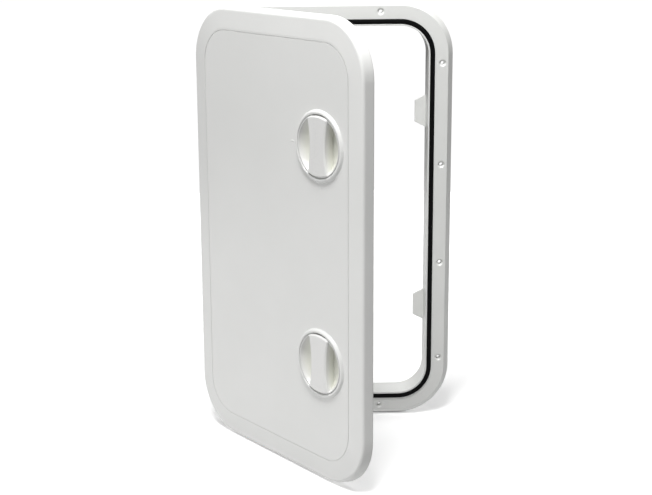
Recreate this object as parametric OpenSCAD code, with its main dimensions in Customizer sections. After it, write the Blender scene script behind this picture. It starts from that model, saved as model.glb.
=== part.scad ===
// Service hatch for a caravan wall: a moulded frame, a hinged door and two twist latches.
// X is right, Y goes into the wall and Z is up. The flange lies on the wall at Y = 0.
// Each piece is drawn lying flat, with its height above the wall as z, and is then stood up.

/* [Frame] */
// Width over the flange
frame_w = 353; // [300:1:500]
// Height over the flange
frame_h = 606; // [560:1:900]
// Outer corner radius, shared by frame and door
corner_r = 74; // [60:1:90]
// Height of the flange above the wall
flange_h = 9.5; // [8.5:0.1:11]
// Skin of the flange
flange_skin = 3; // [2:0.1:3.5]
// Height of the flange's upright outer edge
edge_h = 1.5; // [1:0.1:2]
// Width of the flange's outer bevel
bevel_w = 7; // [6:0.1:8]
// Width of the rim that meets the wall
rim_w = 3; // [2:0.1:3.5]
// Thickness of the wall that lines the cut-out
spigot_t = 2.2; // [1.6:0.1:3]
// Depth of that wall behind the wall plane
spigot_depth = 29; // [28:0.5:40]
// Width of the web between flange hollow and seal groove
land_w = 2; // [1.5:0.1:4]
// Thickness of the webs that cross the flange's hollow
web_t = 1.8; // [1.2:0.1:2.5]

/* [Seal] */
// Distance of the seal groove from the outline
groove_in = 25.5; // [24:0.1:28]
// Width of the seal groove
groove_w = 6.8; // [5:0.1:8]
// Depth of the seal groove
groove_depth = 4; // [3:0.1:5]
// How far the lip inside the groove stands above the flange
lip_rise = 1; // [0.4:0.1:1.5]
// Radius of the seal's bulb
bulb_r = 2.6; // [2:0.1:3]
// Gap between the bulb and the door's closing rib
seal_gap = 0.4; // [0.3:0.1:1]
// How far the bulb stands above the flange
bulb_stand = 2; // [1.5:0.1:2.4]
// How far the seal's foot lies below the flange
foot_low = 0.4; // [0.2:0.1:1]

/* [Fixing holes] */
// Distance of the fixing holes from the outline
hole_in = 15; // [13:0.1:16]
// Radius of a fixing hole
hole_r = 2.5; // [2:0.1:3]
// Radius of its countersink
sink_r = 5; // [4:0.1:5.5]
// Radius of its boss
boss_r = 6; // [5:0.1:7]
// Spacing of the four holes in each upright
stile_step = 144; // [120:1:150]
// Spacing of the two holes in each rail
rail_step = 150; // [100:1:180]

/* [Door] */
// Height of the closed door's face above the wall
face_h = 22; // [20.5:0.1:26]
// How far the sloping border falls from the inset line to the edge
border_fall = 1.7; // [0.5:0.1:2.5]
// Width of the border outside the flat panel
border_w = 28.5; // [24:0.5:32]
// Radius of the door's front edge
edge_r = 4.5; // [3.5:0.1:5]
// How far the door's side leans in from rim to front edge
edge_lean = 2.2; // [1:0.1:3]
// Wall of the door
door_wall = 2.8; // [2:0.1:3.2]
// Gap between the door's rim and the flange's bevel
rim_gap = 1; // [0.6:0.1:2]
// Height of the door's upright rim
rim_t = 1.5; // [1:0.1:3]
// Distance of the inset line from the outline on the rails
line_in = 32; // [30:0.5:36]
// Width of the inset line
line_w = 0.9; // [0.6:0.1:1.5]
// Depth of the inset line
line_depth = 0.5; // [0.3:0.1:1]
// Thickness of the ribs behind the door
rib_t = 2; // [1.5:0.1:3]
// Height of the ribs behind the door
rib_h = 6; // [4:0.5:7]
// Ribs side by side
ribs_across = 3; // [2:1:5]
// Ribs above one another
ribs_up = 7; // [5:2:9]
// How far the door stands open
open_angle = 52; // [0:0.5:90]

/* [Hinge] */
// Radius of the door's hinge knuckles
knuckle_r = 5; // [4.5:0.1:5.5]
// Radius of the hinge rod
rod_r = 1.5; // [1:0.1:2]
// How much less radius the frame's knuckles have
knuckle_step = 0.4; // [0:0.1:0.8]
// Length of one knuckle bay
bay = 50.8; // [40:0.1:50.8]
// Gap between neighbouring knuckles
bay_gap = 1.2; // [0.8:0.1:2]
// Gap round a turning knuckle
knuckle_gap = 0.8; // [0.6:0.1:1.5]
// Running clearance of the rod in the door
rod_fit = 0.05; // [0.02:0.01:0.1]

/* [Latches] */
// Distance of the latch centres from the door's free edge
latch_in = 82.3; // [80:0.1:90]
// Distance between the two latch centres
latch_step = 283.6; // [240:0.1:300]
// Radius of the bezel ring where it meets the door
bezel_r = 46.2; // [45.5:0.1:50]
// Height of the bezel ring above the door
bezel_rise = 3.4; // [2.8:0.1:5]
// Radius of the bezel ring's round top
bezel_round = 2.6; // [1:0.1:2.7]
// Radius of the round pocket at the bezel's top
pocket_r = 41; // [39:0.1:42]
// Wall of the pocket
latch_wall = 1.8; // [1.6:0.1:2.4]
// Wall of the knob
knob_wall = 1.2; // [1:0.1:1.6]
// Gap between knob and pocket
knob_gap = 0.9; // [0.5:0.1:1.2]
// How far the knob's rim lies below the bezel's top
rim_drop = 0.8; // [0.4:0.1:1.5]
// Depth of the finger wells below the bezel's top
well_depth = 13; // [11:0.5:14]
// Radius of the scoop that shapes the wells' sides
scoop_r = 20; // [16:0.5:24]
// Height of the grip bar above the bezel ring
bar_rise = 1.6; // [0:0.1:3]
// Narrowest width of the grip bar
bar_waist = 29; // [24:0.5:34]
// Width of the grip bar near its ends
bar_end_w = 36; // [35:0.5:44]
// Bevel round the grip bar
bar_bevel = 1.8; // [1:0.1:2.5]
// Radius of the arc that ends the grip bar
bar_arc = 52; // [44:1:80]
// Gap between the grip bar's ends and the pocket
bar_gap = 2.4; // [1.8:0.1:3]
// Radius of the spindle
spindle_r = 8; // [7:0.1:9]
// Running clearance of the spindle
spindle_fit = 0.1; // [0.05:0.01:0.1]
// Depth of the seal groove in the spindle
seal_groove = 1.6; // [1.2:0.1:2]
// Wall of the tube that guides the spindle
guide_wall = 3; // [2:0.1:4]
// Reach of the gussets round that tube
gusset_reach = 14; // [8:0.5:20]
// Width of the square end that carries the arm
drive_w = 9; // [8:0.1:9.6]

/* [Latch arms and strikers] */
// Distance between the middles of the two strikers
striker_step = 288; // [240:1:300]
// How far a striker stands in from the wall of the frame
striker_reach = 15; // [12:0.5:17]
// Height of a striker at the frame
striker_base = 46; // [40:1:50]
// Height of a striker at its tip
striker_tip = 31; // [24:1:36]
// Thickness of a striker
striker_t = 4; // [3:0.1:5]
// Depth of a striker's front behind the wall plane
striker_depth = 22.5; // [20:0.5:24]
// Gap between a striker and a turned latch arm
arm_gap = 1; // [0.6:0.1:2]
// Play between the washer and the guide tube
arm_play = 0.3; // [0.3:0.1:1]
// Length of a latch arm from the spindle's centre to its tip
arm_len = 40; // [36:0.5:42]
// Width of a latch arm at its tip
arm_w = 14; // [12:0.5:18]
// Radius of a latch arm's hub
hub_r = 11; // [10:0.5:14]
// Thickness of a latch arm
arm_t = 3; // [2:0.1:4]
// Height of the rib along a latch arm
arm_rib = 2.5; // [1:0.1:4]
// Radius of the latch screw's head
screw_head_r = 5.5; // [4:0.1:7]
// Height of the latch screw's head
screw_head_h = 3; // [2:0.1:4]
// Radius of the latch screw's shank
screw_r = 2.5; // [2:0.1:3]
// Length of the latch screw's shank
screw_len = 16; // [10:1:20]

/* [Hidden] */
$fn = 96;
sliver = 0.02;
past = 20;
// How far pieces that are joined or cut reach into each other
over = 1;
// How far ribs stop short of round forms
shy = 1;
fit = 0.05;
lip_in = groove_in + groove_w;
lip_out = lip_in + spigot_t;
lip_h = flange_h + lip_rise;
groove_floor = flange_h - groove_depth;
hollow_out = groove_in - land_w;
// The origin lies on the flange's back, under the seal in the middle of the bottom rail
land_middle = (hollow_out + lip_out) / 2;
centre_z = frame_h / 2 - land_middle;
stile_holes = [-1.5, -0.5, 0.5, 1.5];
rail_holes = [-0.5, 0.5];
stile_webs = [-1, 0, 1];
rail_webs = [-0.65, 0, 0.65];
bevel_slope = (flange_h - edge_h) / bevel_w;
web_overlap = 0.4;
axis_x = knuckle_r - frame_w / 2;
axis_h = flange_h;
bays = 9;
frame_knuckles = [-4, -2, 0, 2, 4];
door_knuckles = [-3, -1, 1, 3];
knuckle_len = bay - bay_gap;
// The hinge side is solid as far as the door's knuckles reach into it
bed_w = 2 * knuckle_r + knuckle_gap + flange_skin;
rim_h = edge_h + bevel_slope * door_wall + rim_gap;
border_h = face_h - border_fall;
panel_back = face_h - door_wall;
edge_centre = [edge_lean + edge_r, border_h - edge_r];
hinge_clear = axis_h + knuckle_r + knuckle_gap;
seal_middle = groove_in + groove_w / 2;
seal_base = groove_depth - foot_low;
seal_top = flange_h + bulb_stand;
latch_x = frame_w / 2 - latch_in;
bezel_top = face_h + bezel_rise;
bezel_centre = [pocket_r + bezel_round / 2, bezel_top - bezel_round];
well_floor = bezel_top - well_depth;
pocket_wall = knob_wall + knob_gap;
pocket_back = well_floor - pocket_wall - latch_wall;
// Distance of the scoop's centre from the latch's axis, so that the pocket's mouth has its radius
scoop_x = pocket_r - sqrt(pow(scoop_r + pocket_wall, 2) - pow(scoop_r - well_depth, 2));
bar_end_r = pocket_r - bar_gap;
bar_top = bezel_top + bar_rise;
bar_foot = well_floor - knob_wall / 2;
knob_rim = bezel_top - rim_drop;
notch_depth = 7;
waist_reach = 0.8 * bar_end_r;
striker_back = -striker_depth - striker_t;
arm_front = striker_back - arm_gap;
arm_back = arm_front - arm_t;
washer_t = 1.5;
guide_end = arm_front + washer_t + arm_play;
guide_r = spindle_r + guide_wall;
seal_cord = (seal_groove + spindle_fit) / 2 - sliver;
screw_dome = 1.5 * screw_head_r;

// Stands a piece up on the wall, with the origin on the bottom rail
module stood_up() {
    rotate([90, 0, 0])
        translate([0, centre_z, 0])
            children();
}

// Swings a piece of the door open about the hinge
module hung() {
    stood_up()
        translate([axis_x, 0, axis_h])
            rotate([0, -open_angle, 0])
                translate([-axis_x, 0, -axis_h])
                    children();
}

// Places a latch piece, which is drawn about its own axis, 1 for the upper latch and -1 for the lower
module at_latch(level) {
    hung()
        translate([latch_x, level * latch_step / 2, 0])
            children();
}

// A rectangle with round corners
module round_rect(w, h, r) {
    square([w, h - 2 * r], center = true);
    square([w - 2 * r, h], center = true);
    for (x = [-1, 1], y = [-1, 1])
        translate([x * (w / 2 - r), y * (h / 2 - r)])
            circle(r);
}

// Carries a section round the outline; its x is the distance in from the outline and its y the height
module swept(w = frame_w, h = frame_h, r = corner_r) {
    for (side = [0:3]) {
        across = side % 2 == 0 ? w : h;
        along = side % 2 == 0 ? h : w;
        rotate(90 * side) {
            translate([across / 2, 0, 0])
                rotate([90, 0, 0])
                    linear_extrude(along - 2 * r, center = true)
                        mirror([1, 0])
                            children();
            translate([across / 2 - r, along / 2 - r, 0])
                rotate_extrude(angle = 90)
                    translate([r, 0])
                        mirror([1, 0])
                            children();
        }
    }
}

// The point where a line from the foot touches a circle, on its left for side 1 and on its right for -1
function touch(foot, centre, r, side) =
    let (far = norm(centre - foot), turn = atan2(centre.y - foot.y, centre.x - foot.x) + side * asin(r / far))
    foot + sqrt(far * far - r * r) * [cos(turn), sin(turn)];

// Section of the frame's hollow flange, seal groove, lip and lining wall
module frame_section() {
    difference() {
        polygon([
            [0, 0], [0, edge_h], [bevel_w, flange_h], [groove_in, flange_h],
            [groove_in, groove_floor], [lip_in, groove_floor], [lip_in, lip_h], [lip_out, lip_h],
            [lip_out, -spigot_depth], [lip_in, -spigot_depth], [lip_in, 0]
        ]);
        flange_hollow(0, past);
    }
}

// Hollow of the flange, drawn larger by the overlap for a web that fills it down to the foot
module flange_hollow(overlap, foot) {
    polygon([
        [rim_w - overlap, -foot],
        [rim_w - overlap, edge_h + bevel_slope * rim_w - flange_skin + overlap],
        [bevel_w, flange_h - flange_skin + overlap],
        [hollow_out + overlap, flange_h - flange_skin + overlap],
        [hollow_out + overlap, -foot]
    ]);
}

// Webs across the hollow, midway between the holes of the stiles and of the rails
module flange_webs() {
    for (side = [0, 1]) {
        for (k = stile_webs)
            rotate(180 * side)
                translate([frame_w / 2, k * stile_step, 0])
                    flange_web();
        for (k = rail_webs)
            rotate(90 + 180 * side)
                translate([frame_h / 2, k * rail_step, 0])
                    flange_web();
    }
}

module flange_web() {
    rotate([90, 0, 0])
        linear_extrude(web_t, center = true)
            mirror([1, 0])
                flange_hollow(web_overlap, 0);
}

// Solid bed under the hinge knuckles
module hinge_bed() {
    translate([-frame_w / 2, 0, 0])
        rotate([90, 0, 0])
            linear_extrude(bays * bay, center = true)
                polygon([[0, 0], [0, edge_h], [bevel_w, flange_h], [bed_w, flange_h], [bed_w, 0]]);
}

// Places a child at every fixing hole
module at_fixing_holes() {
    for (side = [-1, 1]) {
        for (k = stile_holes)
            translate([side * (frame_w / 2 - hole_in), k * stile_step, 0])
                children();
        for (k = rail_holes)
            translate([k * rail_step, side * (frame_h / 2 - hole_in), 0])
                children();
    }
}

// Trapezoid tab behind which a latch arm turns
module striker() {
    wall_x = frame_w / 2 - lip_out;
    translate([0, 0, -striker_depth - striker_t])
        linear_extrude(striker_t)
            polygon([
                [wall_x + spigot_t / 2, -striker_base / 2], [wall_x, -striker_base / 2],
                [wall_x - striker_reach, -striker_tip / 2], [wall_x - striker_reach, striker_tip / 2],
                [wall_x, striker_base / 2], [wall_x + spigot_t / 2, striker_base / 2]
            ]);
}

// A barrel along the hinge, k bays from the middle
module barrel(k, r, len) {
    translate([axis_x, k * bay, axis_h])
        rotate([90, 0, 0])
            cylinder(r = r, h = len, center = true);
}

module frame() {
    color("white") stood_up() difference() {
        union() {
            swept() frame_section();
            flange_webs();
            hinge_bed();
            at_fixing_holes() cylinder(r = boss_r, h = flange_h - flange_skin / 2);
            for (level = [-1, 1])
                translate([0, level * striker_step / 2, 0])
                    striker();
            for (k = frame_knuckles) barrel(k, knuckle_r - knuckle_step, knuckle_len);
        }
        for (k = door_knuckles) barrel(k, knuckle_r + knuckle_gap, bay + bay_gap);
        barrel(0, rod_r, bays * bay + bay_gap);
        at_fixing_holes() {
            translate([0, 0, -over])
                cylinder(r = hole_r, h = flange_h + 2 * over);
            translate([0, 0, flange_h - (sink_r - hole_r)])
                cylinder(r1 = hole_r, r2 = sink_r, h = sink_r - hole_r);
            translate([0, 0, flange_h - sliver])
                cylinder(r = sink_r, h = over);
        }
    }
}

module gasket() {
    color("black") stood_up() swept() {
        translate([groove_in, groove_floor])
            square([groove_w, seal_base]);
        translate([seal_middle, seal_top - bulb_r])
            circle(bulb_r);
    }
}

module hinge_rod() {
    color("silver") stood_up()
        barrel(0, rod_r, bays * bay - bay_gap);
}

// Form of the door's rim, leaning side, round edge and border, drawn smaller by the wall for its inside
module door_section(wall) {
    foot = [wall, rim_h + rim_t];
    polygon([
        [wall, rim_h - wall], foot, touch(foot, edge_centre, edge_r - wall, 1), edge_centre,
        [edge_centre.x, border_h - wall], [border_w, face_h - wall], [border_w + wall, face_h - wall],
        [border_w + wall, rim_h - wall]
    ]);
    translate(edge_centre)
        circle(edge_r - wall);
}

// Section of the door's rim, side and border
module door_edge() {
    difference() {
        door_section(0);
        door_section(door_wall);
        translate([border_w, 0]) square([past, face_h - door_wall]);
        translate([border_w + sliver, 0]) square([past, face_h + over]);
    }
}

// Fine line round the panel
module inset_line() {
    swept(frame_w - 2 * border_w, frame_h - 2 * line_in, corner_r - border_w)
        translate([-line_w / 2, face_h - line_depth])
            square([line_w, line_depth + over]);
}

// Bowl of a latch, larger by the wall than the finger wells and open at the given height
module bowl(wall, top) {
    intersection() {
        translate([0, well_floor - wall])
            square([pocket_r + past, top - well_floor + wall]);
        union() {
            square([scoop_x, top]);
            translate([scoop_x, well_floor + scoop_r])
                circle(scoop_r + wall);
        }
    }
}

// Bezel ring, bowl and guide tube of a latch, drawn about its axis
module latch_housing() {
    foot = [bezel_r, face_h];
    rotate_extrude() difference() {
        union() {
            polygon([
                [pocket_r - latch_wall, panel_back], [pocket_r - latch_wall, bezel_centre.y], bezel_centre,
                touch(foot, bezel_centre, bezel_round, -1), foot, [bezel_r, panel_back]
            ]);
            translate(bezel_centre)
                circle(bezel_round);
            bowl(pocket_wall + latch_wall, panel_back + over);
            translate([0, guide_end])
                square([guide_r, well_floor - guide_end]);
        }
        bowl(pocket_wall, bezel_top + over);
        translate([0, guide_end - over])
            square([spindle_r + spindle_fit, well_floor - guide_end + over]);
    }
    for (turn = [45:90:315])
        rotate(turn)
            rotate([90, 0, 0])
                linear_extrude(rib_t, center = true)
                    polygon([
                        [guide_r - over, pocket_back + over], [guide_r + gusset_reach, pocket_back + over],
                        [guide_r + gusset_reach, pocket_back], [guide_r, guide_end + gusset_reach],
                        [guide_r - over, guide_end + gusset_reach]
                    ]);
}

// Ribs behind the door
module door_ribs() {
    rib_ring = frame_w - 2 * seal_middle;
    rib_tall = frame_h - 2 * seal_middle;
    translate([0, 0, panel_back - rib_h]) {
        for (k = [0:ribs_across - 1])
            translate([(k - (ribs_across - 1) / 2) * rib_ring / (ribs_across + 1) - rib_t / 2, -rib_tall / 2, 0])
                cube([rib_t, rib_tall, rib_h + over]);
        for (k = [0:ribs_up - 1])
            translate([-rib_ring / 2, (k - (ribs_up - 1) / 2) * rib_tall / (ribs_up + 1) - rib_t / 2, 0])
                cube([rib_ring, rib_t, rib_h + over]);
    }
}

// Web that joins a door knuckle to the door's side, k bays from the middle
module knuckle_web(k) {
    translate([-frame_w / 2 + edge_lean, k * bay - knuckle_len / 2, axis_h])
        cube([2 * knuckle_r - edge_lean - shy, knuckle_len, border_h - door_wall - axis_h]);
}

module door() {
    color("white") hung() difference() {
        union() {
            difference() {
                union() {
                    swept() door_edge();
                    translate([0, 0, panel_back])
                        linear_extrude(door_wall)
                            round_rect(frame_w - 2 * border_w, frame_h - 2 * border_w, corner_r - border_w);
                    swept()
                        translate([seal_middle - rib_t / 2, seal_top + seal_gap])
                            square([rib_t, panel_back - seal_top - seal_gap + over]);
                    door_ribs();
                }
                translate([-frame_w / 2 - over, -frame_h / 2, 0])
                    cube([2 * knuckle_r + 2, frame_h, hinge_clear]);
                for (level = [-1, 1])
                    translate([latch_x, level * latch_step / 2, 0])
                        rotate_extrude()
                            bowl(pocket_wall + latch_wall / 2, face_h + over);
            }
            for (level = [-1, 1])
                translate([latch_x, level * latch_step / 2, 0])
                    latch_housing();
            for (k = door_knuckles) {
                barrel(k, knuckle_r, knuckle_len);
                knuckle_web(k);
            }
        }
        barrel(0, rod_r + rod_fit, bays * bay);
        inset_line();
    }
}

// Hourglass cutter that shapes one side of the grip bar
module bar_side() {
    side_r = (pow(waist_reach, 2) + pow((bar_end_w - bar_waist) / 2, 2)) / (bar_end_w - bar_waist);
    translate([side_r + bar_waist / 2, 0, 0])
        rotate_extrude() polygon([
            [0, bar_foot - over], [side_r, bar_foot - over], [side_r, bar_top - bar_bevel],
            [side_r + bar_bevel, bar_top], [side_r + bar_bevel, bar_top + over], [0, bar_top + over]
        ]);
}

// Cutter that rounds one end of the grip bar, with the same bevel
module bar_end() {
    translate([0, bar_end_r - bar_arc, 0])
        rotate_extrude() polygon([
            [0, bar_foot], [bar_arc, bar_foot], [bar_arc, bar_top - bar_bevel],
            [bar_arc - bar_bevel, bar_top], [0, bar_top]
        ]);
}

// Grip bar across the bowl, with its bevel all round
module grip_bar() {
    difference() {
        intersection() {
            rotate_extrude() bowl(knob_wall / 2, bar_top);
            bar_end();
            mirror([0, 1, 0]) bar_end();
        }
        bar_side();
        mirror([1, 0, 0]) bar_side();
    }
}

// Thin bowl with the two finger wells, its rim cut away at the ends of the grip bar
module well_bowl() {
    difference() {
        rotate_extrude() difference() {
            bowl(knob_wall, knob_rim);
            bowl(0, knob_rim + over);
        }
        for (turn = [0, 180])
            rotate(turn)
                translate([-bar_waist / 2, bar_end_r - knob_wall, knob_rim - notch_depth])
                    cube([bar_waist, pocket_r, notch_depth + over]);
    }
}

// Spindle with a groove for its seal, a square end for the arm and a hole for the screw
module spindle() {
    difference() {
        union() {
            translate([0, 0, arm_front])
                cylinder(r = spindle_r, h = bar_foot - arm_front);
            translate([-drive_w / 2, -drive_w / 2, arm_back + fit])
                cube([drive_w, drive_w, arm_t]);
        }
        rotate_extrude()
            translate([spindle_r - seal_groove, -seal_cord])
                square([seal_groove + over, 2 * seal_cord]);
        translate([0, 0, arm_back])
            cylinder(r = screw_r + fit, h = screw_len + over);
    }
}

module knob(level) {
    color("white") at_latch(level) {
        well_bowl();
        grip_bar();
        spindle();
    }
}

module shaft_seal(level) {
    color("black") at_latch(level)
        rotate_extrude()
            translate([spindle_r - seal_groove + seal_cord, 0])
                circle(seal_cord);
}

module washer(level) {
    color("silver") at_latch(level)
        translate([0, 0, arm_front])
            difference() {
                cylinder(r = guide_r, h = washer_t);
                translate([0, 0, -1])
                    cylinder(r = spindle_r + fit, h = washer_t + 2);
            }
}

module arm(level) {
    tip_y = arm_w / 2 - arm_len;
    color("white") at_latch(level) {
        translate([0, 0, arm_back])
            linear_extrude(arm_t)
                difference() {
                    union() {
                        circle(hub_r);
                        polygon([[-hub_r, 0], [hub_r, 0], [arm_w / 2, tip_y], [-arm_w / 2, tip_y]]);
                        translate([0, tip_y])
                            circle(arm_w / 2);
                    }
                    square(drive_w + 2 * fit, center = true);
                }
        translate([-rib_t / 2, tip_y, arm_back - arm_rib])
            cube([rib_t, -tip_y - screw_head_r - shy, arm_rib + over]);
    }
}

module screw(level) {
    color("silver") at_latch(level) {
        intersection() {
            translate([0, 0, arm_back - screw_head_h])
                cylinder(r = screw_head_r, h = screw_head_h);
            translate([0, 0, arm_back - screw_head_h + screw_dome])
                sphere(screw_dome);
        }
        translate([0, 0, arm_back - sliver])
            cylinder(r = screw_r, h = screw_len);
    }
}

frame();
gasket();
hinge_rod();
door();
knob(1);  // upper_knob
shaft_seal(1);  // upper_shaft_seal
washer(1);  // upper_washer
arm(1);  // upper_arm
screw(1);  // upper_screw
knob(-1);  // lower_knob
shaft_seal(-1);  // lower_shaft_seal
washer(-1);  // lower_washer
arm(-1);  // lower_arm
screw(-1);  // lower_screw
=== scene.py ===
import math

import bpy
import numpy as np
from mathutils import Euler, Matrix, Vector


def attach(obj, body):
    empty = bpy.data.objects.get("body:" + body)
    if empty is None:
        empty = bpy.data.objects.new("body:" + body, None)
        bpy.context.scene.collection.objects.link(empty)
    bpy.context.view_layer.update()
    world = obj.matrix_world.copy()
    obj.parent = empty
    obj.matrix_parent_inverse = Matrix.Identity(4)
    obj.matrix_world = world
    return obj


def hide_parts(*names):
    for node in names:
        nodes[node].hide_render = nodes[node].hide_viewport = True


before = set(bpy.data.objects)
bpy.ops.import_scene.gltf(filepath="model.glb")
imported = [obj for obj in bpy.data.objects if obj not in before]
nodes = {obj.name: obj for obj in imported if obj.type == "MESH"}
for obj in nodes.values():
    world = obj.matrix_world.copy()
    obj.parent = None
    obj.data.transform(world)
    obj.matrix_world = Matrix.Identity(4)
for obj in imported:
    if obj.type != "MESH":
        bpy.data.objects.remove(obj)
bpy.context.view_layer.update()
print("frame loaded with", len(nodes), "nodes")


noiseRough = 0.55


# One value in a node tree. Arithmetic on it adds Math nodes, and node() adds any other node.
class Signal:
    def __init__(self, tree, socket):
        self.tree, self.socket = tree, socket

    def node(self, kind, settings=None, values=None, output=0):
        made = self.tree.nodes.new(kind)
        for key, value in (settings or {}).items():
            setattr(made, key, value)
        for key, value in (values or {}).items():
            if isinstance(value, Signal):
                self.tree.links.new(value.socket, made.inputs[key])
            else:
                made.inputs[key].default_value = value
        return Signal(self.tree, made.outputs[output])

    def maths(self, operation, first, second):
        return self.node("ShaderNodeMath", {"operation": operation}, {0: first, 1: second})

    def __add__(self, other):
        return self.maths("ADD", self, other)

    def __sub__(self, other):
        return self.maths("SUBTRACT", self, other)

    def __mul__(self, other):
        return self.maths("MULTIPLY", self, other)

    # noise at this place, features about size metres across, centred on 0
    def noise(self, size, detail, stretch=(1, 1, 1)):
        turned = self.node("ShaderNodeMapping", {}, {"Vector": self, "Scale": stretch})
        cloud = self.node("ShaderNodeTexNoise", {"noise_dimensions": "3D"},
                          {"Vector": turned, "Scale": 1 / size, "Detail": detail,
                           "Roughness": noiseRough})
        return cloud - 0.5

    # blends two colours, each a colour signal or three numbers, by this value from 0 to 1
    def mix(self, low, high):
        ends = [end if isinstance(end, Signal) else (*end, 1) for end in (low, high)]
        return self.node("ShaderNodeMix", {"data_type": "RGBA"},
                         {0: self, 6: ends[0], 7: ends[1]}, 2)

    # the three coordinates of a place
    def apart(self):
        split = self.tree.nodes.new("ShaderNodeSeparateXYZ")
        self.tree.links.new(self.socket, split.inputs[0])
        return [Signal(self.tree, out) for out in split.outputs]

    # 1 on each multiple of step, falling smoothly to 0 at this width from it
    def nearLine(self, step, width):
        off = self.maths("PINGPONG", self, step / 2)
        return self.node("ShaderNodeMapRange", {"interpolation_type": "SMOOTHSTEP"},
                         {"Value": off, "From Min": width, "From Max": 0.0,
                          "To Min": 0.0, "To Max": 1.0})

    # 0 below low, 1 above high, straight between
    def between(self, low, high):
        return self.node("ShaderNodeMapRange", {"clamp": True},
                         {"Value": self, "From Min": low, "From Max": high,
                          "To Min": 0.0, "To Max": 1.0})


def newFinish(name, constants):
    material = bpy.data.materials.new(name)
    material.use_nodes = True
    tree = material.node_tree
    tree.nodes.clear()
    shader = tree.nodes.new("ShaderNodeBsdfPrincipled")
    out = tree.nodes.new("ShaderNodeOutputMaterial")
    tree.links.new(shader.outputs[0], out.inputs[0])
    for key, value in constants.items():
        shader.inputs[key].default_value = value
    coords = tree.nodes.new("ShaderNodeTexCoord")
    return material, shader, Signal(tree, coords.outputs["Object"])


def wire(shader, **feeds):
    # underscores stand for the blanks in the shader's socket names
    for key, signal in feeds.items():
        signal.tree.links.new(signal.socket, shader.inputs[key.replace("_", " ")])


bumpLook = {"edgeSamples": 6, "strength": 1.0, "unit": 0.001}


# Bump, its height in millimetres, on top of edges that are softened to this radius in metres
def bumped(height, soft):
    rounded = height.node("ShaderNodeBevel", {"samples": bumpLook["edgeSamples"]}, {"Radius": soft})
    return height.node("ShaderNodeBump", {},
                       {"Strength": bumpLook["strength"], "Distance": bumpLook["unit"],
                        "Height": height, "Normal": rounded})


# The part's own sizes that pieces and finishes share, in millimetres, and the door's angle in
# degrees
hatch = {"hingeX": -171.5, "hingeH": 9.5, "open": 52.0, "middleZ": 274.0,
         "latchX": 94.2, "latchStep": 283.6, "panelBack": 19.2, "bezelTop": 25.4,
         "ribAcross": 73.8, "ribUp": 68.525, "sinkWide": 5.0, "perMetre": 1000}


# The place in the shut hatch's plan, in millimetres: x to the right, y towards the wall, z up from
# the middle. It is the place scaled and brought to the middle, then turned shut about the hinge.
def shutPlace(place):
    scaled = place.node("ShaderNodeMapping", {},
                        {"Vector": place, "Scale": (hatch["perMetre"],) * 3,
                         "Location": (0, 0, -hatch["middleZ"])})
    return scaled.node("ShaderNodeVectorRotate", {"rotation_type": "Z_AXIS"},
                       {"Vector": scaled, "Center": (hatch["hingeX"], -hatch["hingeH"], 0),
                        "Angle": math.radians(hatch["open"])})


# Moulded plastic: cloudy colour, fine spark grain, slow waves where the wall has sunk in cooling,
# shallow sink lines over the ribs behind the panel, a duller, rougher back than front, and, where
# asked, painted shade with a warm tint in the knob's wells, darker and warmer deeper in
def plasticFinish(name, look):
    material, shader, place = newFinish(name, {
        "Specular IOR Level": look["gloss"], "Coat Weight": look["coat"],
        "Coat Roughness": look["coatRough"], "IOR": look["ior"]})
    cloud = place.noise(look["cloudSize"], look["cloudDetail"])
    speck = place.noise(look["speckSize"], look["speckDetail"])
    tone = (cloud * look["cloud"] + speck * look["speck"] + 0.5).between(0.0, 1.0)
    grain = place.noise(look["grainSize"], look["grainDetail"])
    wave = place.noise(look["waveSize"], look["waveDetail"], look["waveStretch"])
    rubbed = place.noise(look["rubSize"], look["rubDetail"], look["rubStretch"])
    height = grain * look["grainDeep"] + wave * look["waveDeep"]
    rough = grain * look["grainRough"] + rubbed * look["rub"] + look["roughness"]
    if look["ribbed"]:
        across, deep, up = shutPlace(place).apart()
        sunk = (across.nearLine(hatch["ribAcross"], hatch["sinkWide"])
                + up.nearLine(hatch["ribUp"], hatch["sinkWide"])) * look["sinkDeep"]
        behind = (deep + hatch["panelBack"]).between(-look["backFade"], look["backFade"])
        height = height - sunk + behind * grain * look["backGrain"]
        rough = rough + behind * look["backRough"]
    colour = tone.mix(look["shade"], look["colour"])
    # Painted shade: below the bezel's top the knob's wells blend with depth to a darker, warmer
    # colour, a warm tint with painted shade on it
    if look["recess"]:
        low = (shutPlace(place).apart()[1] + hatch["bezelTop"]).between(*look["recess"])
        colour = low.mix(colour, tone.mix(look["wellTintAndShadeDark"], look["wellTintAndShadeColour"]))
    wire(shader, Base_Color=colour, Roughness=rough, Normal=bumped(height, look["soft"]))
    return material


# Extruded rubber: fine pores, a dusty bloom and a matt sheen
def rubberFinish(name, look):
    material, shader, place = newFinish(name, {"Specular IOR Level": look["gloss"],
                                               "IOR": look["ior"]})
    dust = place.noise(look["dustSize"], look["dustDetail"])
    dust = dust.between(look["dustFrom"], look["dustTo"])
    pores = place.noise(look["poreSize"], look["poreDetail"])
    wire(shader, Base_Color=dust.mix(look["colour"], look["bloom"]),
         Roughness=dust * look["dustRough"] + pores * look["poreRough"] + look["roughness"],
         Normal=bumped(pores * look["poreDeep"], look["soft"]))
    return material


# Drawn or turned steel: streaks along its length and a little dulling
def steelFinish(name, look):
    material, shader, place = newFinish(name, {"Metallic": 1.0})
    streak = place.noise(look["streakSize"], look["streakDetail"], look["stretch"])
    dull = place.noise(look["dullSize"], look["dullDetail"])
    bright = (dull + 0.5).between(*look["dullRange"])
    wire(shader, Base_Color=bright.mix(look["shade"], look["colour"]),
         Roughness=streak * look["streakRough"] + dull * look["dullRough"] + look["roughness"],
         Normal=bumped(streak * look["streakDeep"], look["soft"]))
    return material


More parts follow.
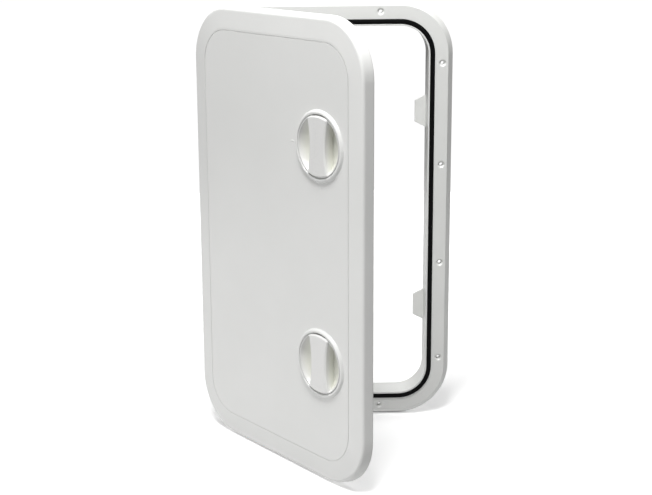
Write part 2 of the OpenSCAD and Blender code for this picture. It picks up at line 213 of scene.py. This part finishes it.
# Sizes in metres, bump depths in millimetres
doorLook = {"colour": (0.825, 0.825, 0.812), "shade": (0.765, 0.77, 0.752),
            "gloss": 0.45, "ior": 1.48, "coat": 0.08, "coatRough": 0.25, "roughness": 0.36,
            "cloud": 0.8, "cloudSize": 0.09, "cloudDetail": 4.0,
            "speck": 0.25, "speckSize": 0.0012, "speckDetail": 2.0,
            "grainSize": 0.0011, "grainDetail": 3.0, "grainDeep": 0.035, "grainRough": 0.16,
            "waveSize": 0.05, "waveDetail": 1.0, "waveStretch": (1, 1, 0.3), "waveDeep": 0.25,
            "rub": 0.14, "rubSize": 0.03, "rubDetail": 5.0, "rubStretch": (1, 1, 0.25),
            "soft": 0.0007, "ribbed": True, "sinkDeep": 0.012,
            "backFade": 0.6, "backGrain": 0.04, "backRough": 0.16, "recess": None}
frameLook = dict(doorLook, roughness=0.4, waveDeep=0.15, colour=(0.815, 0.82, 0.80),
                 cloudSize=0.06, ribbed=False)
# The knob's wells take painted shade and a warm tint from 1.5 to 9 mm below the bezel's top
knobLook = dict(doorLook, roughness=0.3, coat=0.15, waveDeep=0.05, grainDeep=0.02,
                colour=(0.82, 0.82, 0.808), shade=(0.775, 0.773, 0.76), cloudSize=0.03,
                ribbed=False, recess=(1.5, 9.0), wellTintAndShadeColour=(0.775, 0.78, 0.715),
                wellTintAndShadeDark=(0.73, 0.735, 0.67))
armLook = dict(knobLook, recess=None, colour=(0.70, 0.70, 0.68), shade=(0.58, 0.58, 0.55),
               roughness=0.5, speck=0.9, speckSize=0.0006, cloudSize=0.01)
washerLook = dict(armLook, colour=(0.060, 0.060, 0.063), shade=(0.035, 0.035, 0.036),
                  roughness=0.45)
sealLook = {"colour": (0.0030, 0.0030, 0.0033), "bloom": (0.008, 0.008, 0.0085),
            "gloss": 0.06, "ior": 1.5, "roughness": 0.6, "soft": 0.0003,
            "dustSize": 0.02, "dustDetail": 5.0, "dustFrom": -0.1, "dustTo": 0.45, "dustRough": 0.2,
            "poreSize": 0.0008, "poreDetail": 3.0, "poreDeep": 0.03, "poreRough": 0.25}
rodLook = {"colour": (0.62, 0.62, 0.61), "shade": (0.5, 0.5, 0.49), "roughness": 0.28,
           "streakSize": 0.0006, "streakDetail": 3.0, "stretch": (1, 1, 0.02),
           "streakDeep": 0.02, "streakRough": 0.22, "soft": 0.0002,
           "dullSize": 0.012, "dullDetail": 4.0, "dullRange": (0.1, 0.9), "dullRough": 0.12}
zincLook = dict(rodLook, colour=(0.66, 0.67, 0.69), shade=(0.50, 0.51, 0.53),
                streakSize=0.0012, stretch=(1, 1, 1), roughness=0.34)

finishes = {
    "door": plasticFinish("doorPlastic", doorLook),
    "frame": plasticFinish("framePlastic", frameLook),
    "knob": plasticFinish("knobPlastic", knobLook),
    "arm": plasticFinish("armPlastic", armLook),
    "washer": plasticFinish("washerPlastic", washerLook),
    "seal": rubberFinish("sealRubber", sealLook),
    "steel": steelFinish("hingeSteel", rodLook),
    "zinc": steelFinish("screwZinc", zincLook),
}


def dress(name, finish):
    slots = nodes[name].data.materials
    if len(slots) == 0:
        slots.append(finishes[finish])
    for k in range(len(slots)):
        slots[k] = finishes[finish]


dress("door", "door")
dress("frame", "frame")
dress("gasket", "seal")
dress("hinge_rod", "steel")
for level in ("upper", "lower"):
    dress(level + "_knob", "knob")
    dress(level + "_shaft_seal", "seal")
    dress(level + "_washer", "washer")
    dress(level + "_arm", "arm")
    dress(level + "_screw", "zinc")
print("finishes set")


# Six times the volume inside a closed surface: the sum over its triangles of the first corner's
# dot product with the cross product of the other two
def enclosed(points, triangles):
    p, q, r = (points[triangles[:, k]] - points.mean(0) for k in range(3))
    return float((p * np.cross(q, r)).sum())


# points is an array [along, across, 3] in metres, a grid that closes on itself across. Its
# neighbours are joined by four-sided faces. Where the grid doesn't close along too, each end ring
# is closed by a fan of triangles to its middle. Faces that would point inwards are turned round.
def newPiece(name, points, finish, closedAlong=False):
    along, across = points.shape[:2]
    index = np.arange(along * across).reshape(along, across)
    a = index if closedAlong else index[:-1]
    b = np.roll(index, -1, 0) if closedAlong else index[1:]
    quads = np.stack([a, np.roll(a, -1, 1), np.roll(b, -1, 1), b], -1).reshape(-1, 4)
    corners = points.reshape(-1, 3)
    fans = np.zeros((0, 3), int)
    if not closedAlong:
        first, last, count = index[0], index[-1], len(corners)
        corners = np.concatenate([corners, points[:1].mean(1), points[-1:].mean(1)])
        fans = np.concatenate([np.stack([0 * first + count, np.roll(first, -1), first], -1),
                               np.stack([0 * last + count + 1, last, np.roll(last, -1)], -1)])
    if enclosed(corners, np.concatenate([quads[:, :3], quads[:, [0, 2, 3]], fans])) < 0:
        quads, fans = quads[:, ::-1], fans[:, ::-1]
    mesh = bpy.data.meshes.new(name)
    mesh.vertices.add(len(corners))
    mesh.vertices.foreach_set("co", corners.reshape(-1).astype(np.float32))
    mesh.loops.add(quads.size + fans.size)
    order = np.concatenate([quads.reshape(-1), fans.reshape(-1)])
    mesh.loops.foreach_set("vertex_index", order.astype(np.int32))
    mesh.polygons.add(len(quads) + len(fans))
    starts = np.concatenate([np.arange(0, quads.size, 4), quads.size + np.arange(0, fans.size, 3)])
    mesh.polygons.foreach_set("loop_start", starts.astype(np.int32))
    mesh.update(calc_edges=True)
    mesh.shade_smooth()
    mesh.materials.append(finishes[finish])
    piece = bpy.data.objects.new(name, mesh)
    bpy.context.scene.collection.objects.link(piece)
    return piece


# Seal: a flat-footed bulb with fine ribs on its crown, carried round a rectangle with round
# corners. The path runs anticlockwise seen from outside. A point of the section is its distance in
# from the frame's outline and its height above the wall, both in millimetres.
sealShape = {"wide": 353.0, "tall": 606.0, "corner": 74.0, "middle": 28.9, "half": 3.36,
             "floor": 5.55, "top": 11.45, "shoulder": 8.6, "ridges": 3, "ridgeDeep": 0.16,
             "ridgesFrom": 0.35, "sidePower": 0.6, "crownPower": 0.8, "footPower": 0.35,
             "sectionSteps": 56, "cornerSteps": 40, "straightSteps": 60}


def roundPath(look):
    # centre of curvature and outward angle of each step: corners sweep 90 degrees, straights keep
    # one angle and slide from corner to corner
    r = look["corner"]
    a, b = look["wide"] / 2 - r, look["tall"] / 2 - r
    centres, angles = [], []
    corners = np.array([[a, b], [-a, b], [-a, -b], [a, -b]])
    for k in range(4):
        sweep = np.linspace(k * 90, k * 90 + 90, look["cornerSteps"])
        centres.append(np.repeat(corners[k:k + 1], len(sweep), 0))
        angles.append(sweep)
        slide = np.linspace(0, 1, look["straightSteps"] + 2)[1:-1, None]
        centres.append(corners[k] * (1 - slide) + corners[(k + 1) % 4] * slide)
        angles.append(np.full(len(slide), k * 90 + 90.0))
    return np.concatenate(centres), np.radians(np.concatenate(angles)), r


def makeSeal(look):
    # At angle t of the section the distance in is the middle plus half the width times a power of
    # cos t. The height above the shoulder is the crown's times a power of sin t, less a cosine
    # ripple, and below it the foot's depth times a power of sin t.
    t = np.linspace(0, 2 * math.pi, look["sectionSteps"], endpoint=False)
    up, across = np.sin(t), np.cos(t)
    side = np.sign(across) * np.abs(across) ** look["sidePower"]
    inset = look["middle"] + look["half"] * side
    dome = (look["top"] - look["shoulder"]) * np.clip(up, 0, None) ** look["crownPower"]
    ripple = np.cos(look["ridges"] * 2 * math.pi * across) * (up > look["ridgesFrom"])
    crown = look["shoulder"] + dome - look["ridgeDeep"] * ripple - look["ridgeDeep"]
    foot = (look["floor"] - look["shoulder"]) * np.abs(up) ** look["footPower"]
    height = np.where(up < 0, look["shoulder"] + foot, crown)
    centres, angles, r = roundPath(look)
    out = np.stack([np.cos(angles), np.sin(angles)], 1)
    flat = centres[:, None, :] + out[:, None, :] * (r - inset)[None, :, None]
    points = np.stack([flat[..., 0], np.broadcast_to(-height, flat.shape[:2]),
                       flat[..., 1] + hatch["middleZ"]], -1)
    piece = newPiece("door_seal", points / hatch["perMetre"], "seal", closedAlong=True)
    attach(piece, "frame")
    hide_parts("gasket")


makeSeal(sealShape)
print("seal made")


# From the shut hatch's plan to the scene: x and y across and up the door and h out from the wall,
# in millimetres, are turned open about the hinge, then stood up and brought to metres
def openedPoints(x, y, h):
    turn = math.radians(hatch["open"])
    out, rise = x - hatch["hingeX"], h - hatch["hingeH"]
    along = hatch["hingeX"] + out * math.cos(turn) - rise * math.sin(turn)
    away = hatch["hingeH"] + out * math.sin(turn) + rise * math.cos(turn)
    return np.stack([along, -away, y + hatch["middleZ"]], -1) / hatch["perMetre"]


# Screw of a latch: a domed head with a cross recess, and a shank with a rolled thread
screwLook = {"headBack": -33.5, "headH": 3.0, "headR": 5.5, "dome": 8.25,
             "crossWide": 0.75, "crossReach": 2.9, "crossDeep": 1.7, "crossSlope": 0.25,
             "wallSoft": 0.25, "reachSoft": 0.5, "innerR": 0.15,
             "shankR": 2.5, "shankEnd": -14.5, "pitch": 0.8, "threadDeep": 0.32,
             "tipLong": 1.2, "tipDeep": 0.6,
             "round": 120, "headRings": 44, "seatRings": 4, "threadRings": 110}


def makeScrew(level, side, look):
    # head: a spherical cap less a cross, whose depth falls off at its arms' width and reach
    t = np.linspace(0, 2 * math.pi, look["round"], endpoint=False)
    r = np.linspace(look["innerR"], look["headR"], look["headRings"])[:, None]
    arm = np.minimum(np.abs(r * np.cos(t)), np.abs(r * np.sin(t)))
    walls = np.clip((look["crossWide"] - arm) / look["wallSoft"] + 0.5, 0, 1)
    walls = walls * np.clip((look["crossReach"] - r) / look["reachSoft"], 0, 1)
    cap = look["dome"] - np.sqrt(look["dome"] ** 2 - r ** 2)
    cross = walls * look["crossDeep"] * (1 - look["crossSlope"] * r / look["crossReach"])
    head = look["headBack"] + cap + cross
    rim = np.repeat(r, look["round"], 1)
    # under the head: out at its rim, straight in to the shank
    under = look["headBack"] + look["headH"]
    step = np.linspace(0, 1, look["seatRings"])[:, None]
    seat = np.full((look["seatRings"], look["round"]), under)
    inward = np.repeat(look["headR"] + (look["shankR"] - look["headR"]) * step, look["round"], 1)
    # thread: the shank's radius less a triangle wave of the turn and of the way along the shank,
    # and drawn in over the last stretch at the tip
    long = look["shankEnd"] - under
    way = np.linspace(0, long, look["threadRings"] + 1)[1:, None]
    wave = np.abs(2 * ((way / look["pitch"] - t / (2 * math.pi)) % 1) - 1)
    tip = 1 - np.clip((long - way) / look["tipLong"], 0, 1)
    shank = look["shankR"] - look["threadDeep"] * wave - tip * look["shankR"] * look["tipDeep"]
    height = np.concatenate([head, seat, under + np.repeat(way, look["round"], 1)])
    radius = np.concatenate([rim, inward, shank])
    x = hatch["latchX"] + radius * np.cos(t)
    y = side * hatch["latchStep"] / 2 + radius * np.sin(t)
    points = openedPoints(x, y, height)
    piece = newPiece(level + "_latch_screw", points, "zinc")
    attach(piece, level + "_latch")
    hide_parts(level + "_screw")


for level, side in (("upper", 1), ("lower", -1)):
    makeScrew(level, side, screwLook)
print("screws made")


# Two low plain dashes by the upper latch, one beside its bezel and one below
markLook = {"away": 53.5, "long": 6.0, "wide": 1.8, "high": 0.5, "sunk": 0.3, "face": 22.0,
            "roundness": 4, "inner": 0.001, "around": 48, "rings": 14}


def makeMarks(look):
    # Each is a dome on an outline of two half circles and two straights. The height is the dome's
    # times the square root of 1 less a power of q, which runs from 0 in the middle to 1 at the rim.
    q = np.linspace(look["inner"], 1, look["rings"])[:, None]
    t = np.linspace(0, 2 * math.pi, look["around"], endpoint=False)
    straight = (look["long"] - look["wide"]) / 2 * np.sign(np.cos(t)) * q
    u = straight + look["wide"] / 2 * np.cos(t) * q
    v = look["wide"] / 2 * np.sin(t) * q
    dome = np.sqrt(np.clip(1 - q ** look["roundness"], 0, 1)) + 0 * t
    h = look["face"] - look["sunk"] + (look["high"] + look["sunk"]) * dome
    latchY = hatch["latchStep"] / 2
    for name, x, y in (
            ("upper_latch_mark_side", hatch["latchX"] - look["away"] + u, latchY + v),
            ("upper_latch_mark_below", hatch["latchX"] + v, latchY - look["away"] - u)):
        piece = newPiece(name, openedPoints(x, y, h), "door")
        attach(piece, "door")


makeMarks(markLook)
print("marks made")

# Lengths in metres
stageLook = {"floorZ": -0.0292, "radius": 1.5, "sides": 96,
             "colour": (0.93, 0.93, 0.93), "shade": (0.90, 0.90, 0.90), "gloss": 0.2,
             "cloudSize": 0.4, "cloudDetail": 2.0, "cloudShare": 0.5,
             "roughness": 0.8, "cloudRough": 0.1,
             "glowNear": 0.30, "glowFar": 0.85, "nearRadius": 0.45, "farRadius": 1.25,
             "backRadius": 9.0, "backAround": 64, "backRings": 32, "backGap": 0.001,
             "backLight": 1.05, "backLow": (0.99, 0.99, 0.99), "backHigh": (1, 1, 1),
             "backCloud": 3.0, "backDetail": 1.0}


# Floor: a flat round disc, its points at radius times (cos t, sin t). It glows a little, more
# towards its rim, and gives no light to the hatch: floorLight below stands for that.
def makeFloor(look):
    t = np.linspace(0, 2 * math.pi, look["sides"], endpoint=False)
    ring = np.stack([look["radius"] * np.cos(t), look["radius"] * np.sin(t),
                     np.full_like(t, look["floorZ"])], 1)
    mesh = bpy.data.meshes.new("floor")
    mesh.from_pydata(ring.tolist(), [], [list(range(len(t)))])
    floor = bpy.data.objects.new("floor", mesh)
    bpy.context.scene.collection.objects.link(floor)
    material, shader, place = newFinish("floorPaint", {"Specular IOR Level": look["gloss"],
                                                       "Emission Strength": 1.0})
    cloud = place.noise(look["cloudSize"], look["cloudDetail"])
    away = place.node("ShaderNodeVectorMath", {"operation": "LENGTH"}, {0: place}, 1)
    rim = away.between(look["nearRadius"], look["farRadius"])
    tone = (cloud * look["cloudShare"] + 0.5).between(0, 1)
    wire(shader, Base_Color=tone.mix(look["shade"], look["colour"]),
         Emission_Color=rim.mix((look["glowNear"],) * 3, (look["glowFar"],) * 3),
         Roughness=cloud * look["cloudRough"] + look["roughness"])
    mesh.materials.append(material)
    floor.visible_diffuse = False


def glowFinish(name, look):
    material, shader, place = newFinish(name, {
        "Base Color": (0, 0, 0, 1), "Specular IOR Level": 0.0,
        "Emission Strength": look["backLight"]})
    cloud = (place.noise(look["backCloud"], look["backDetail"]) + 0.5).between(0, 1)
    wire(shader, Emission_Color=cloud.mix(look["backLow"], look["backHigh"]))
    return material


# Backdrop: a sphere of white light round the whole stage, which lights nothing.
# Its points lie at radius times (sin a cos t, sin a sin t, cos a).
def makeBackdrop(look):
    t = np.linspace(0, 2 * math.pi, look["backAround"], endpoint=False)
    a = np.linspace(look["backGap"], math.pi - look["backGap"], look["backRings"])[:, None]
    points = look["backRadius"] * np.stack(
        [np.sin(a) * np.cos(t), np.sin(a) * np.sin(t), np.cos(a) + 0 * t], -1)
    back = newPiece("backdrop", points, "back")
    for ray in ("diffuse", "glossy", "transmission", "volume_scatter", "shadow"):
        setattr(back, "visible_" + ray, False)


finishes["back"] = glowFinish("backdropLight", stageLook)
makeFloor(stageLook)
makeBackdrop(stageLook)

# Area lamps, each hidden from the camera: place, the point aimed at and size in metres, power in
# watts. The one at the floor stands for the light that a white floor gives back. It leaves no
# highlight of its own, since the floor is already mirrored.
lights = {
    "highFront": {"place": (-0.3, -1.0, 2.4), "aim": (0.0, -0.1, 0.3), "size": 0.7, "power": 51.0},
    "farSide": {"place": (-2.4, -1.2, 0.6), "aim": (0.0, -0.1, 0.3), "size": 1.4, "power": 22.5},
    "nearTop": {"place": (0.15, -0.35, 1.2), "aim": (0.0, -0.1, 0.3), "size": 0.5, "power": 3.6},
    "floorLight": {"place": (0.1, -0.3, -0.0288), "aim": (0.1, -0.3, 1.0), "size": 1.6,
                   "power": 4.6},
    "behind": {"place": (0.2, 1.6, 2.2), "aim": (0.0, -0.1, 0.3), "size": 2.0, "power": 28.0},
}
worldLook = {"colour": (1, 1, 1, 1), "strength": 0.05}


def makeLamp(name, look):
    data = bpy.data.lights.new(name, "AREA")
    data.shape, data.size, data.energy = "SQUARE", look["size"], look["power"]
    lamp = bpy.data.objects.new(name, data)
    bpy.context.scene.collection.objects.link(lamp)
    lamp.location = look["place"]
    away = Vector(look["place"]) - Vector(look["aim"])
    lamp.rotation_euler = away.to_track_quat("Z", "Y").to_euler()
    lamp.visible_camera = False
    lamp.visible_glossy = name != "floorLight"


def makeWorld(look):
    world = bpy.data.worlds.new("studio")
    world.use_nodes = True
    sky = world.node_tree.nodes["Background"]
    sky.inputs["Color"].default_value = look["colour"]
    sky.inputs["Strength"].default_value = look["strength"]
    bpy.context.scene.world = world


for name, look in lights.items():
    makeLamp(name, look)
makeWorld(worldLook)
bpy.context.scene.view_settings.view_transform = "Standard"

# Camera: place in metres, turns in degrees, focal length and shifts in pixels of a picture 652 wide
cameraLook = {"place": (-0.0707, -1.8043, 0.7181), "yaw": 1.83, "pitch": -12.87, "roll": 0.36,
              "focal": 1299.6, "shiftX": 10.1, "shiftY": -55.0, "wide": 652, "sensor": 36}


def makeCamera(look):
    data = bpy.data.cameras.new("view")
    data.sensor_width = look["sensor"]
    data.lens = look["focal"] * look["sensor"] / look["wide"]
    data.shift_x = look["shiftX"] / look["wide"]
    data.shift_y = look["shiftY"] / look["wide"]
    camera = bpy.data.objects.new("view", data)
    bpy.context.scene.collection.objects.link(camera)
    camera.location = look["place"]
    camera.rotation_euler = Euler((math.radians(90 + look["pitch"]), math.radians(look["roll"]),
                                   math.radians(-look["yaw"])), "XYZ")
    bpy.context.scene.camera = camera


makeCamera(cameraLook)
print("stage ready")
